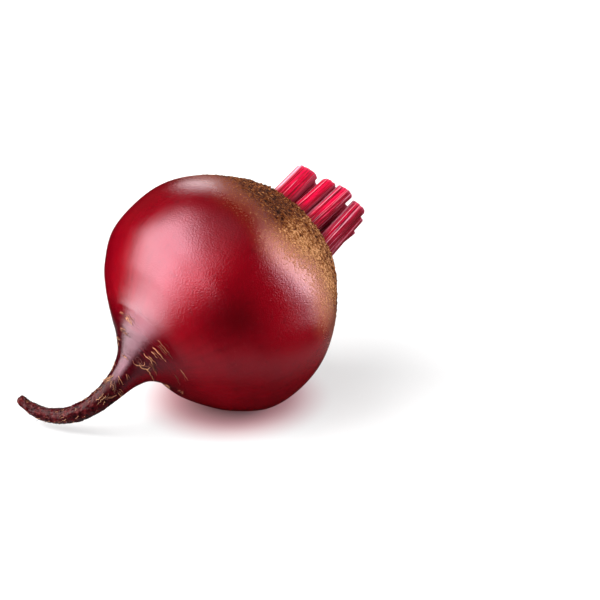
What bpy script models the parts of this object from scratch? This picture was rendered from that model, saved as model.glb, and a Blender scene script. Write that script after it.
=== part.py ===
"""Whole beetroot lying on its side: a turned root with a bent tail, and cut leaf stalks."""

import math
import random

import bmesh
import bpy
from mathutils import Euler, Vector

MM = 0.001

# Lie of the beetroot: the crown points to +X and up, and the flat spot is on z = 0.
AXIS_RISE = math.radians(25.0)
BULB_CENTRE = Vector((-5.7, 0.0, 37.2)) * MM
GAP = 0.35 * MM

# Turned profile, crown to tail tip: (height along the axis above the bulb's middle, radius).
# Below TAIL_START the height counts along the bent centre line.
PROFILE_MM = [
    (38.5, 0.0),
    (37.2, 10.0),
    (33.4, 19.3),
    (27.1, 27.1),
    (19.3, 33.4),
    (10.1, 37.7),
    (0.0, 39.0),
    (-10.0, 37.4),
    (-18.2, 31.5),
    (-22.4, 26.7),
    (-25.8, 21.7),
    (-28.6, 16.6),
    (-31.0, 11.9),
    (-34.5, 7.1),
    (-38.6, 4.9),
    (-42.7, 3.95),
    (-48.8, 3.3),
    (-57.0, 2.9),
    (-65.0, 2.5),
    (-73.3, 2.1),
    (-77.4, 1.75),
    (-80.4, 1.45),
    (-81.3, 0.0),
]
ROOT_SIDES = 42
BULB_RING_PITCH = 3.2 * MM
CROWN_RING_PITCH = 1.5 * MM
NECK_RING_PITCH = 2.1 * MM

# Bent tail: swing to the side and sag, in degrees, as polynomials of the share of its length.
TAIL_START = 27.0 * MM
TAIL_LENGTH = 54.1 * MM
TAIL_SWING = (62.0, 26.0)
TAIL_SAG = (145.0, -265.0, 79.0)
NECK_SHIFT = Vector((-1.45, 0.0, 0.0)) * MM
NECK_SHIFT_LENGTH = 9.0 * MM
PATH_STEPS = 200

# Slow swells of the bulb: (height, turns round the axis, turns along it, phase).
SWELLS = [
    (0.30 * MM, 2, 0.6, 0.4),
    (0.22 * MM, 3, 1.1, 2.1),
    (0.12 * MM, 5, 1.7, 4.4),
]
SWELL_WAVE = 10.0 * MM
SWELL_FROM = (15.5 * MM, 24.0 * MM)

# Ridges left by old leaves, in rings round the crown.
SCAR_INNER = 15.5 * MM
SCAR_OUTER = 29.0 * MM
SCAR_RISE = 1.5 * MM
SCAR_FADE = 6.0 * MM
SCAR_PITCH = 4.2 * MM
SCAR_HEIGHT = 0.45 * MM
SCAR_RINGS_REACH = 26.5 * MM

# Rootlets: (distance down the axis from the bulb's middle, angle, number, spread) of each tuft.
TUFTS = [
    (28.6 * MM, 183.0, 3, 12.0),
    (30.6 * MM, 186.0, 3, 12.0),
    (33.0 * MM, 163.0, 2, 8.0),
    (29.2 * MM, 240.0, 4, 11.0),
    (31.8 * MM, 252.0, 3, 12.0),
    (39.5 * MM, 228.0, 2, 20.0),
    (46.5 * MM, 180.0, 3, 25.0),
    (30.0 * MM, 20.0, 3, 16.0),
    (33.0 * MM, 70.0, 3, 20.0),
    (44.0 * MM, 40.0, 2, 30.0),
]
TUFT_DEPTH = 1.6 * MM
ROOTLET_LENGTH = (3.5 * MM, 6.5 * MM)
ROOTLET_ACROSS = (0.6, 1.0)
ROOTLET_RISE = 2.2
ROOTLET_LEAST_TURN_RADIUS = 3.0 * MM
ROOTLET_RADIUS = 0.42 * MM
ROOTLET_TIP_SHARE = 0.55
ROOTLET_POINTS = 5
ROOTLET_SUNK = 1.2 * MM
ROOTLET_CLEAR = 0.55 * MM
ROOTLET_LIFT = 0.5 * MM
ROOTLET_SLOPE = (-0.10, 0.28)
ROOTLET_CURL = 0.35

# Cut leaf stalks: (angle round the crown, distance from the axis, angle it faces, width, length,
# lean outwards, lean sideways, slope of the cut end).
STALKS = [
    (177.0, 12.9, 196.0, 7.6, 12.4, 2.6, -4.2, 0.26),
    (210.0, 10.5, 206.0, 4.4, 14.3, 0.5, -1.0, 0.36),
    (243.8, 10.7, 236.0, 5.8, 16.5, 0.0, -1.6, 0.16),
    (282.7, 13.5, 258.0, 5.7, 18.1, -1.5, -5.5, 0.10),
    (310.0, 13.9, 296.0, 5.2, 18.2, -6.0, -4.5, 0.10),
    (338.0, 12.6, 333.0, 5.6, 15.0, 3.0, -1.0, -0.15),
    (10.0, 11.6, 12.0, 6.0, 14.5, 4.0, 1.5, 0.12),
    (52.0, 11.6, 50.0, 6.4, 15.5, 4.0, -1.0, -0.08),
    (97.0, 9.2, 95.0, 6.4, 17.0, 0.0, 1.0, 0.0),
    (141.0, 10.4, 141.0, 5.0, 13.0, 1.0, 1.0, -0.10),
    (291.0, 6.0, 285.0, 4.2, 15.0, 0.5, -1.0, 0.05),
    (38.0, 4.6, 40.0, 4.4, 13.5, 1.0, 0.0, 0.15),
    (180.0, 2.4, 190.0, 3.8, 16.8, 0.0, -1.0, -0.12),
]
STALK_DEPTH_SHARE = 0.52
STALK_CHANNEL_SHARE = 0.16
STALK_ROUNDNESS = 0.8
STALK_RIBS = 4
STALK_RIB_HEIGHT = 0.22 * MM
STALK_FLARE = 0.07
STALK_OUTER_POINTS = 17
STALK_INNER_POINTS = 6
STALK_LEVELS = (0.0, 0.12, 0.35, 0.68, 1.0)

FLAT_CUTTER_SIZE = 60.0 * MM

SKIN_COLOUR = (0.235, 0.006, 0.019, 1.0)
STALK_COLOUR = (0.560, 0.012, 0.085, 1.0)


def clear_scene():
    for old in list(bpy.data.objects):
        bpy.data.objects.remove(old, do_unlink=True)


def new_collection(name):
    group = bpy.data.collections.new(name)
    bpy.context.scene.collection.children.link(group)
    return group


def plain_material(name, colour, roughness):
    made = bpy.data.materials.new(name)
    made.use_nodes = True
    shader = made.node_tree.nodes["Principled BSDF"]
    shader.inputs["Base Color"].default_value = colour
    shader.inputs["Roughness"].default_value = roughness
    shader.inputs["Metallic"].default_value = 0.0
    made.diffuse_color = colour
    return made


def ease(low, high, value):
    """Smooth step from 0 at low to 1 at high."""
    share = min(max((value - low) / (high - low), 0.0), 1.0)
    return share * share * (3.0 - 2.0 * share)


def smooth_profile(samples_per_span=24):
    """Points (height, radius) on a smooth curve through the turned profile's points."""
    knots = [Vector((height * MM, radius * MM)) for height, radius in PROFILE_MM]
    mirrored_first = Vector((knots[1].x, -knots[1].y))
    mirrored_last = Vector((knots[-2].x, -knots[-2].y))
    padded = [mirrored_first] + knots + [mirrored_last]
    points = []
    for i in range(1, len(padded) - 2):
        before, start, end, after = padded[i - 1:i + 3]
        bow = 2.0 * before - 5.0 * start + 4.0 * end - after
        twist = 3.0 * start - before - 3.0 * end + after
        for k in range(samples_per_span):
            t = k / samples_per_span
            points.append(0.5 * (2.0 * start + (end - before) * t + bow * t ** 2 + twist * t ** 3))
    points.append(knots[-1])
    return points


def ring_pitch(height):
    """Spacing of the rings of faces: close at the crown and the neck, wide on the bulb."""
    if height > SCAR_RING_LIMIT:
        return CROWN_RING_PITCH
    if height < -TAIL_START:
        return NECK_RING_PITCH
    return BULB_RING_PITCH


def spaced_profile():
    """The smooth profile with its points set apart by ring_pitch."""
    fine = smooth_profile()
    kept = [fine[0]]
    walked = 0.0
    for before, after in zip(fine[:-2], fine[1:-1]):
        walked += (after - before).length
        if walked >= ring_pitch(after.x):
            kept.append(after)
            walked = 0.0
    if (kept[-1] - fine[-1]).length < 0.5 * MM:
        kept.pop()
    kept.append(fine[-1])
    return kept


def crown_height(radius):
    """Height of the crown's dome at a distance from the axis."""
    fine = smooth_profile()
    for before, after in zip(fine[:-1], fine[1:]):
        if after.y >= radius:
            share = (radius - before.y) / (after.y - before.y)
            return before.x + share * (after.x - before.x)
    return 0.0


def tail_path():
    """Centre line of the tail: points and two side directions at even steps."""
    step = TAIL_LENGTH / PATH_STEPS
    point = Vector((0.0, 0.0, -TAIL_START))
    heading = Vector((0.0, 0.0, -1.0))
    side_x = Vector((1.0, 0.0, 0.0))
    side_y = Vector((0.0, 1.0, 0.0))
    path = [(point.copy(), side_x.copy(), side_y.copy())]
    for i in range(PATH_STEPS):
        t = (i + 0.5) / PATH_STEPS
        swing = math.radians(TAIL_SWING[0] * t + TAIL_SWING[1] * t * t)
        sag = math.radians(TAIL_SAG[0] * t + TAIL_SAG[1] * t * t + TAIL_SAG[2] * t ** 3)
        turned = Vector((
            math.sin(sag),
            math.cos(sag) * math.sin(swing),
            -math.cos(sag) * math.cos(swing),
        ))
        turn = heading.rotation_difference(turned)
        side_x = turn @ side_x
        side_y = turn @ side_y
        heading = turned
        point = point + heading * step
        path.append((point.copy(), side_x.copy(), side_y.copy()))
    return path


def bend_tail(place, path):
    """Carry a point of the straight turned root over to the bent one."""
    depth = -place.z - TAIL_START
    if depth <= 0.0:
        return place.copy()
    where = min(depth / TAIL_LENGTH, 1.0) * PATH_STEPS
    index = min(int(where), PATH_STEPS - 1)
    share = where - index
    centre = path[index][0].lerp(path[index + 1][0], share)
    side_x = path[index][1].lerp(path[index + 1][1], share)
    side_y = path[index][2].lerp(path[index + 1][2], share)
    shift = NECK_SHIFT * ease(0.0, NECK_SHIFT_LENGTH, depth)
    return centre + shift + side_x * place.x + side_y * place.y


def swell(place, radius):
    """Slow swells on the bulb, none under the leaf stalks and none on the tail."""
    angle = math.atan2(place.y, place.x)
    total = 0.0
    for height, turns, along, phase in SWELLS:
        total += height * math.cos(turns * angle + phase + along * place.z / SWELL_WAVE)
    return total * ease(*SWELL_FROM, radius)


def scar_ridge(place, radius):
    """Rings of low ridges on the crown, wavy round the axis."""
    if place.z < 0.0:
        return 0.0
    angle = math.atan2(place.y, place.x)
    wave = 0.10 * math.sin(5.0 * angle + 0.7) + 0.06 * math.sin(11.0 * angle)
    rings = 0.5 + 0.5 * math.cos(math.tau * ((radius - SCAR_INNER) / SCAR_PITCH + wave))
    fade_in = ease(SCAR_INNER, SCAR_INNER + SCAR_RISE, radius)
    fade_out = 1.0 - ease(SCAR_INNER + SCAR_FADE, SCAR_OUTER, radius)
    return SCAR_HEIGHT * rings * fade_in * fade_out


def root_point(height, radius, angle, path):
    """A point at a height, radius and angle of the turned shape, carried to the bent root."""
    place = Vector((radius * math.cos(angle), radius * math.sin(angle), height))
    return bend_tail(place, path)


def make_root(group, path):
    outline = bpy.data.meshes.new("root_profile")
    points = spaced_profile()
    rows = [(point.y, 0.0, point.x) for point in points]
    links = [(i, i + 1) for i in range(len(rows) - 1)]
    outline.from_pydata(rows, links, [])
    turned = bpy.data.objects.new("root_turned", outline)
    group.objects.link(turned)
    screw = turned.modifiers.new("turn", "SCREW")
    screw.axis = "Z"
    screw.angle = math.tau
    screw.steps = ROOT_SIDES
    screw.render_steps = ROOT_SIDES
    screw.use_merge_vertices = True
    screw.merge_threshold = 0.00001
    bpy.context.view_layer.update()
    graph = bpy.context.evaluated_depsgraph_get()
    body = bpy.data.meshes.new_from_object(turned.evaluated_get(graph))
    bpy.data.objects.remove(turned, do_unlink=True)

    shaper = bmesh.new()
    shaper.from_mesh(body)
    bmesh.ops.recalc_face_normals(shaper, faces=shaper.faces)
    for corner in shaper.verts:
        place = corner.co.copy()
        radius = math.hypot(place.x, place.y)
        if radius > 0.0:
            outward = Vector((place.x, place.y, 0.0)) / radius
            if place.z > 0.0:
                outward = (outward * radius + Vector((0.0, 0.0, place.z))).normalized()
            place += outward * (swell(place, radius) + scar_ridge(place, radius))
        corner.co = bend_tail(place, path)
    shaper.to_mesh(body)
    shaper.free()
    body.shade_smooth()
    body.name = "root"
    root = bpy.data.objects.new("root", body)
    group.objects.link(root)
    root.location = BULB_CENTRE
    root.rotation_euler = Euler((0.0, math.pi / 2.0 - AXIS_RISE, 0.0))
    return root


def skin_radius(depth):
    """Radius of the turned root at a distance below the bulb's middle."""
    fine = smooth_profile()
    for before, after in zip(fine[:-1], fine[1:]):
        if after.x <= -depth:
            share = (-depth - before.x) / (after.x - before.x)
            return before.y + share * (after.y - before.y)
    return 0.0


def make_rootlets(group, path, root):
    """Short side roots in tufts, each a thin tapered tube that starts inside the root."""
    rng = random.Random(11)
    curves = []
    for depth, angle_deg, count, spread in TUFTS:
        for _ in range(count):
            start_depth = depth + rng.uniform(-TUFT_DEPTH, TUFT_DEPTH)
            start_angle = math.radians(angle_deg + rng.uniform(-spread, spread))
            length = rng.uniform(*ROOTLET_LENGTH)
            across = rng.choice((-1.0, 1.0)) * rng.uniform(*ROOTLET_ACROSS)
            along = rng.uniform(*ROOTLET_SLOPE)
            data = bpy.data.curves.new("rootlet", "CURVE")
            data.dimensions = "3D"
            data.bevel_depth = ROOTLET_RADIUS
            data.bevel_resolution = 1
            data.use_fill_caps = True
            spline = data.splines.new("POLY")
            spline.points.add(ROOTLET_POINTS - 1)
            for k in range(ROOTLET_POINTS):
                share = k / (ROOTLET_POINTS - 1)
                here_depth = start_depth + along * length * share
                here_radius = skin_radius(here_depth)
                risen = min(share * ROOTLET_RISE, 1.0)
                reach = -ROOTLET_SUNK + (ROOTLET_SUNK + ROOTLET_CLEAR) * risen
                reach += ROOTLET_LIFT * share
                turn = across * length * share / max(here_radius, ROOTLET_LEAST_TURN_RADIUS)
                turn *= 1.0 - ROOTLET_CURL * share
                place = root_point(-here_depth, here_radius + reach, start_angle + turn, path)
                spline.points[k].co = (place.x, place.y, place.z, 1.0)
                spline.points[k].radius = 1.0 + (ROOTLET_TIP_SHARE - 1.0) * share
            holder = bpy.data.objects.new("rootlet", data)
            group.objects.link(holder)
            holder.matrix_world = root.matrix_world
            curves.append(holder)
    bpy.context.view_layer.update()
    graph = bpy.context.evaluated_depsgraph_get()
    for holder in curves:
        tube = bpy.data.meshes.new_from_object(holder.evaluated_get(graph))
        shaper = bmesh.new()
        shaper.from_mesh(tube)
        bmesh.ops.remove_doubles(shaper, verts=shaper.verts, dist=0.000001)
        bmesh.ops.recalc_face_normals(shaper, faces=shaper.faces)
        shaper.to_mesh(tube)
        shaper.free()
        solid = bpy.data.objects.new("rootlet_solid", tube)
        group.objects.link(solid)
        solid.matrix_world = holder.matrix_world
        bpy.data.objects.remove(holder, do_unlink=True)


def join_rootlets(root, group):
    """Unite every rootlet with the root in one Boolean, then drop the separate tubes."""
    union = root.modifiers.new("rootlets", "BOOLEAN")
    union.operation = "UNION"
    union.operand_type = "COLLECTION"
    union.collection = group
    union.solver = "EXACT"
    bpy.context.view_layer.update()
    graph = bpy.context.evaluated_depsgraph_get()
    joined = bpy.data.meshes.new_from_object(root.evaluated_get(graph))
    root.modifiers.remove(union)
    root.data = joined
    for solid in list(group.objects):
        bpy.data.objects.remove(solid, do_unlink=True)
    bpy.data.collections.remove(group)


def cut_flat_spot(root, cutters):
    """Level the lowest point of the bulb, where it rests."""
    shaper = bmesh.new()
    bmesh.ops.create_cube(shaper, size=FLAT_CUTTER_SIZE)
    block = bpy.data.meshes.new("ground_block")
    shaper.to_mesh(block)
    shaper.free()
    ground = bpy.data.objects.new("ground_block", block)
    cutters.objects.link(ground)
    ground.location = (0.0, 0.0, -FLAT_CUTTER_SIZE / 2.0)
    ground.hide_render = True
    ground.display_type = "WIRE"
    cut = root.modifiers.new("flat_spot", "BOOLEAN")
    cut.operation = "DIFFERENCE"
    cut.object = ground
    cut.solver = "EXACT"


def stalk_outline(width):
    """Crescent outline, outer side first: (outward, sideways) pairs."""
    half = width / 2.0
    depth = width * STALK_DEPTH_SHARE
    channel = width * STALK_CHANNEL_SHARE
    points = []
    for i in range(STALK_OUTER_POINTS):
        turn = math.pi * i / (STALK_OUTER_POINTS - 1)
        side = half * math.cos(turn)
        out = depth * math.sin(turn) ** STALK_ROUNDNESS
        rib = 0.5 - 0.5 * math.cos(2.0 * STALK_RIBS * turn)
        out += STALK_RIB_HEIGHT * rib * math.sin(turn)
        points.append((out, side))
    for i in range(1, STALK_INNER_POINTS):
        side = -half + width * i / STALK_INNER_POINTS
        out = channel * (1.0 - (side / half) ** 2)
        points.append((out, side))
    middle = depth / 2.0
    return [(out - middle, side) for out, side in points]


def make_stalk(group, number, root, skin):
    angle_deg, distance, facing_deg, width, length, lean_deg, side_lean_deg, slope = STALKS[number]
    distance *= MM
    width *= MM
    length *= MM
    off_face = math.radians(angle_deg - facing_deg)
    centre_out = distance * math.cos(off_face)
    centre_side = distance * math.sin(off_face)
    base_height = crown_height(distance)
    lean = math.tan(math.radians(lean_deg))
    side_lean = math.tan(math.radians(side_lean_deg))
    shaper = bmesh.new()
    rings = []
    for level in STALK_LEVELS:
        grow = 1.0 + STALK_FLARE * (1.0 - level) ** 3
        ring = []
        for out, side in stalk_outline(width):
            out *= grow
            side *= grow
            from_axis = math.hypot(centre_out + out, centre_side + side)
            foot = crown_height(from_axis) + GAP - base_height
            top = length + slope * side
            height = foot + (top - foot) * level
            out += lean * length * level
            side += side_lean * length * level
            ring.append(shaper.verts.new((out, side, height)))
        rings.append(ring)
    count = len(rings[0])
    for lower, upper in zip(rings[:-1], rings[1:]):
        for i in range(count):
            j = (i + 1) % count
            shaper.faces.new((lower[i], lower[j], upper[j], upper[i]))
    bottom = shaper.faces.new(list(reversed(rings[0])))
    shaper.faces.new(rings[-1])
    bmesh.ops.triangulate(shaper, faces=[bottom])
    bmesh.ops.recalc_face_normals(shaper, faces=shaper.faces)
    name = "leaf_stalk_%d" % (number + 1)
    mesh = bpy.data.meshes.new(name)
    shaper.to_mesh(mesh)
    shaper.free()
    mesh.shade_smooth()
    mesh.set_sharp_from_angle(angle=math.radians(50.0))
    mesh.materials.append(skin)
    stalk = bpy.data.objects.new(name, mesh)
    group.objects.link(stalk)
    stalk.parent = root
    angle = math.radians(angle_deg)
    stalk.location = (distance * math.cos(angle), distance * math.sin(angle), base_height)
    stalk.rotation_euler = Euler((0.0, 0.0, math.radians(facing_deg)))
    return stalk


SCAR_RING_LIMIT = crown_height(SCAR_RINGS_REACH)

clear_scene()
beetroot = new_collection("beetroot")
rootlet_tubes = new_collection("rootlet_tubes")
cutters = new_collection("cutters")
path = tail_path()

root = make_root(beetroot, path)
bpy.context.view_layer.update()
make_rootlets(rootlet_tubes, path, root)
join_rootlets(root, rootlet_tubes)
root.data.materials.clear()
root.data.materials.append(plain_material("beet_skin", SKIN_COLOUR, 0.38))
root.data.shade_smooth()
root.data.set_sharp_from_angle(angle=math.radians(50.0))
cut_flat_spot(root, cutters)

stalk_skin = plain_material("leaf_stalk", STALK_COLOUR, 0.34)
for number in range(len(STALKS)):
    make_stalk(beetroot, number, root, stalk_skin)
bpy.context.view_layer.update()
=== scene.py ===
import math
import random

import bmesh
import bpy
import numpy as np
from mathutils import Matrix, Vector


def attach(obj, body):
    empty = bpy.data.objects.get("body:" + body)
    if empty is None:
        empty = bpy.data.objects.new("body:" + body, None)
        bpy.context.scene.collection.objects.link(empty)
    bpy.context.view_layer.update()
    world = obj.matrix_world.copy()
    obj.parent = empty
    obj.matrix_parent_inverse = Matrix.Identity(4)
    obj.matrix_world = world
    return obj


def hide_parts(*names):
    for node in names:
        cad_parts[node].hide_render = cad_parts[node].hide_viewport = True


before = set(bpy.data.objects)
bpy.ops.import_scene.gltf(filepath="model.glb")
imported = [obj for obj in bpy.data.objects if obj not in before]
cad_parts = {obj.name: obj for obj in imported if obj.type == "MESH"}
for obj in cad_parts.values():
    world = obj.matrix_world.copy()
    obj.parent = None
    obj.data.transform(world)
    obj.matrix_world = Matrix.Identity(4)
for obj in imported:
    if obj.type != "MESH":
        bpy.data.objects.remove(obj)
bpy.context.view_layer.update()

MM = 0.001
CM = 0.01
BODY = "root"
NEAR_ZERO = 1e-9
UP = Vector((0.0, 0.0, 1.0))

# Lie of the beetroot, as in the solids: the crown points to +X and up, and the flat spot is on z = 0.
AXIS_RISE = math.radians(25.0)
BULB_CENTRE = np.array((-5.7, 0.0, 37.2)) * MM

# Turned profile, crown to tail tip: (height along the axis above the bulb's middle, radius).
PROFILE_MM = [
    (38.5, 0.0), (37.2, 10.0), (33.4, 19.3), (27.1, 27.1), (19.3, 33.4), (10.1, 37.7),
    (0.0, 39.0), (-10.0, 37.4), (-18.2, 31.5), (-22.4, 26.7), (-25.8, 21.7), (-28.6, 16.6),
    (-31.0, 11.9), (-34.5, 7.1), (-38.6, 4.9), (-42.7, 3.95), (-48.8, 3.3), (-57.0, 2.9),
    (-65.0, 2.5), (-73.3, 2.1), (-77.4, 1.75), (-80.4, 1.45), (-81.3, 0.0),
]
BULB_RADIUS_MM = 39.0

# Bent tail: swing to the side and sag, in degrees, as polynomials of the share of its length.
TAIL_START = 27.0 * MM
TAIL_LENGTH = 54.1 * MM
TAIL_SWING = (62.0, 26.0)
TAIL_SAG = (145.0, -265.0, 79.0)
NECK_SHIFT = np.array((-1.45, 0.0, 0.0)) * MM
NECK_SHIFT_LENGTH = 9.0 * MM
PATH_STEPS = 200

# Slow swells of the bulb: (height, turns round the axis, turns along it, phase).
SWELLS = [(0.30 * MM, 2, 0.6, 0.4), (0.22 * MM, 3, 1.1, 2.1), (0.12 * MM, 5, 1.7, 4.4)]
SWELL_WAVE = 10.0 * MM
SWELL_FROM = (15.5 * MM, 24.0 * MM)

# Ridges left by old leaves, in rings round the crown that wave by (share of the pitch, waves round
# the root, phase).
SCAR_INNER = 15.5 * MM
SCAR_OUTER = 29.0 * MM
SCAR_RISE = 1.5 * MM
SCAR_FADE = 6.0 * MM
SCAR_PITCH = 4.2 * MM
SCAR_HEIGHT = 0.45 * MM
SCAR_WAVES = ((0.10, 5, 0.7), (0.06, 11, 0.0))

# Cut leaf stalks: (angle round the crown, distance from the axis, angle it faces, width, length,
# lean outwards, lean sideways, slope of the cut end), in mm and degrees.
STALKS = [
    (177.0, 12.9, 196.0, 7.6, 12.4, 2.6, -4.2, 0.26),
    (210.0, 10.5, 206.0, 4.4, 14.3, 0.5, -1.0, 0.36),
    (243.8, 10.7, 236.0, 5.8, 16.5, 0.0, -1.6, 0.16),
    (282.7, 13.5, 258.0, 5.7, 18.1, -1.5, -5.5, 0.10),
    (310.0, 13.9, 296.0, 5.2, 18.2, -6.0, -4.5, 0.10),
    (338.0, 12.6, 333.0, 5.6, 15.0, 3.0, -1.0, -0.15),
    (10.0, 11.6, 12.0, 6.0, 14.5, 4.0, 1.5, 0.12),
    (52.0, 11.6, 50.0, 6.4, 15.5, 4.0, -1.0, -0.08),
    (97.0, 9.2, 95.0, 6.4, 17.0, 0.0, 1.0, 0.0),
    (141.0, 10.4, 141.0, 5.0, 13.0, 1.0, 1.0, -0.10),
    (291.0, 6.0, 285.0, 4.2, 15.0, 0.5, -1.0, 0.05),
    (38.0, 4.6, 40.0, 4.4, 13.5, 1.0, 0.0, 0.15),
    (180.0, 2.4, 190.0, 3.8, 16.8, 0.0, -1.0, -0.12),
]
STALK_DEPTH_SHARE = 0.52
STALK_CHANNEL_SHARE = 0.16
STALK_ROUNDNESS = 0.8
STALK_RIBS = 4
STALK_RIB_HEIGHT = 0.22 * MM
STALK_FLARE = 0.07
STALK_SUNK = 1.6 * MM


def ease(low, high, value):
    """Smooth step from 0 at low to 1 at high, for numbers and arrays."""
    share = np.clip((value - low) / (high - low), 0.0, 1.0)
    return share * share * (3.0 - 2.0 * share)


def tint(red, green, blue):
    """A screen colour, 0 to 255, as linear light."""
    lit = []
    for part in (red, green, blue):
        part /= 255.0
        lit.append(part / 12.92 if part <= 0.04045 else ((part + 0.055) / 1.055) ** 2.4)
    return (*lit, 1.0)


# Form of the root
def smooth_profile(samples_per_span=24):
    """Heights and radii on a smooth curve through the turned profile's points."""
    knots = np.array(PROFILE_MM) * MM
    ends = [knots[1] * (1, -1), knots[-2] * (1, -1)]
    padded = np.vstack([ends[0], knots, ends[1]])
    rows = []
    for i in range(1, len(padded) - 2):
        before, start, end, after = padded[i - 1:i + 3]
        bow = 2.0 * before - 5.0 * start + 4.0 * end - after
        twist = 3.0 * start - before - 3.0 * end + after
        for k in range(samples_per_span):
            t = k / samples_per_span
            rows.append(0.5 * (2.0 * start + (end - before) * t + bow * t ** 2 + twist * t ** 3))
    rows.append(knots[-1])
    return np.array(rows)


PROFILE = smooth_profile()
PROFILE_ARC = np.concatenate([[0.0], np.cumsum(np.hypot(*np.diff(PROFILE, axis=0).T))])


def crown_height(radius):
    """Height of the turned crown at a distance from the axis."""
    top = PROFILE[:np.argmax(PROFILE[:, 1]) + 1]
    return np.interp(radius, top[:, 1], top[:, 0])


def skin_radius(depth):
    """Radius of the turned shape below the bulb's middle."""
    low = PROFILE[np.argmax(PROFILE[:, 1]):]
    return np.interp(depth, -low[:, 0], low[:, 1])


def tail_path():
    """Points along the bent tail, each with the two directions across it."""
    step = TAIL_LENGTH / PATH_STEPS
    point = Vector((0.0, 0.0, -TAIL_START))
    heading = Vector((0.0, 0.0, -1.0))
    side_x = Vector((1.0, 0.0, 0.0))
    side_y = Vector((0.0, 1.0, 0.0))
    rows = [(*point, *side_x, *side_y)]
    for i in range(PATH_STEPS):
        t = (i + 0.5) / PATH_STEPS
        swing = math.radians(TAIL_SWING[0] * t + TAIL_SWING[1] * t * t)
        sag = math.radians(TAIL_SAG[0] * t + TAIL_SAG[1] * t * t + TAIL_SAG[2] * t ** 3)
        turned = Vector((
            math.sin(sag),
            math.cos(sag) * math.sin(swing),
            -math.cos(sag) * math.cos(swing),
        ))
        turn = heading.rotation_difference(turned)
        side_x = turn @ side_x
        side_y = turn @ side_y
        heading = turned
        point = point + heading * step
        rows.append((*point, *side_x, *side_y))
    return np.array(rows)


TAIL_PATH = tail_path()


def bend_tail(places):
    """Carry points of the straight turned root over to the bent one."""
    depth = -places[:, 2] - TAIL_START
    where = np.clip(depth / TAIL_LENGTH, 0.0, 1.0) * PATH_STEPS
    steps = np.arange(PATH_STEPS + 1)
    track = np.stack([np.interp(where, steps, TAIL_PATH[:, k]) for k in range(9)], 1)
    shift = NECK_SHIFT * ease(0.0, NECK_SHIFT_LENGTH, depth)[:, None]
    bent = track[:, :3] + shift + track[:, 3:6] * places[:, :1] + track[:, 6:9] * places[:, 1:2]
    return np.where((depth > 0.0)[:, None], bent, places)


def to_row(places):
    """From the root's own axis to the lying beetroot."""
    lean = math.pi / 2.0 - AXIS_RISE
    x = places[:, 0] * math.cos(lean) + places[:, 2] * math.sin(lean)
    z = -places[:, 0] * math.sin(lean) + places[:, 2] * math.cos(lean)
    return np.stack([x, places[:, 1], z], 1) + BULB_CENTRE


def skin_points(depth, angle, lift):
    """Points over the skin of the lower bulb and the tail."""
    reach = skin_radius(depth) + lift
    places = np.stack([reach * np.cos(angle), reach * np.sin(angle), -depth], 1)
    return to_row(bend_tail(places))


# Helpers for nodes
def fill(tree, node, inputs):
    """Give a node's inputs a link or a value each."""
    for key, value in inputs.items():
        target = node.inputs[key]
        if isinstance(value, bpy.types.NodeSocket):
            tree.links.new(value, target)
        else:
            target.default_value = value
    return node


def put(tree, kind, inputs=None, **settings):
    """Add a node, set it and fill its inputs."""
    made = tree.nodes.new(kind)
    for key, value in settings.items():
        setattr(made, key, value)
    return fill(tree, made, inputs or {})


def calc(tree, operation, first, second=0.0, third=0.0, clamp=False):
    """One step of arithmetic; only MULTIPLY_ADD has a third number."""
    inputs = {0: first, 1: second}
    if operation == "MULTIPLY_ADD":
        inputs[2] = third
    return put(tree, "ShaderNodeMath", inputs, operation=operation, use_clamp=clamp).outputs[0]


def weighed(tree, start, *parts, clamp=False):
    """The start plus each value times its weight."""
    total = start
    for value, weight in parts[:-1]:
        total = calc(tree, "MULTIPLY_ADD", value, weight, total)
    value, weight = parts[-1]
    return calc(tree, "MULTIPLY_ADD", value, weight, total, clamp)


def fade(tree, value, low, high, out_low=0.0, out_high=1.0):
    """Smooth remap of a value from low..high."""
    made = put(
        tree, "ShaderNodeMapRange",
        {"Value": value, "From Min": low, "From Max": high, "To Min": out_low, "To Max": out_high},
        interpolation_type="SMOOTHSTEP",
    )
    return made.outputs[0]


def mix_colour(tree, share, first, second):
    """From the first colour at share 0 to the second at share 1."""
    return put(tree, "ShaderNodeMix", {0: share, 6: first, 7: second}, data_type="RGBA").outputs[2]


def layered(tree, colour, *layers):
    """Lay colours over one another, each as (share, strength, colour)."""
    for share, strength, extra in layers:
        colour = mix_colour(tree, calc(tree, "MULTIPLY", share, strength), colour, extra)
    return colour


def scaled(tree, vector, scale):
    """A pattern's coordinates, stretched by three factors."""
    return put(tree, "ShaderNodeVectorMath", {0: vector, 1: scale}, operation="MULTIPLY").outputs[0]


def noise(tree, vector, scale, detail=3.0, roughness=0.55, distortion=0.0):
    """Soft noise from 0 to 1."""
    made = put(
        tree, "ShaderNodeTexNoise",
        {"Vector": vector, "Scale": scale, "Detail": detail, "Roughness": roughness,
         "Distortion": distortion},
    )
    return made.outputs[0]


def ramp(tree, value, stops):
    """Colour ramp: stops are (place, colour)."""
    made = put(tree, "ShaderNodeValToRGB", {"Fac": value})
    while len(made.color_ramp.elements) < len(stops):
        made.color_ramp.elements.new(0.5)
    for element, (place, colour) in zip(made.color_ramp.elements, stops):
        element.position = place
        element.color = colour
    return made.outputs[0]


def attribute(tree, name, kind="Fac"):
    """A number or vector stored on the mesh."""
    return put(tree, "ShaderNodeAttribute", attribute_name=name).outputs[kind]


def bumps(tree, shader, *layers):
    """Raise the shader's surface by layers of (height, depth in metres)."""
    normal = None
    for height, depth in layers:
        inputs = {"Height": height, "Distance": depth, "Strength": 1.0}
        if normal is not None:
            inputs["Normal"] = normal
        normal = put(tree, "ShaderNodeBump", inputs).outputs[0]
    fill(tree, shader, {"Normal": normal})


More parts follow.
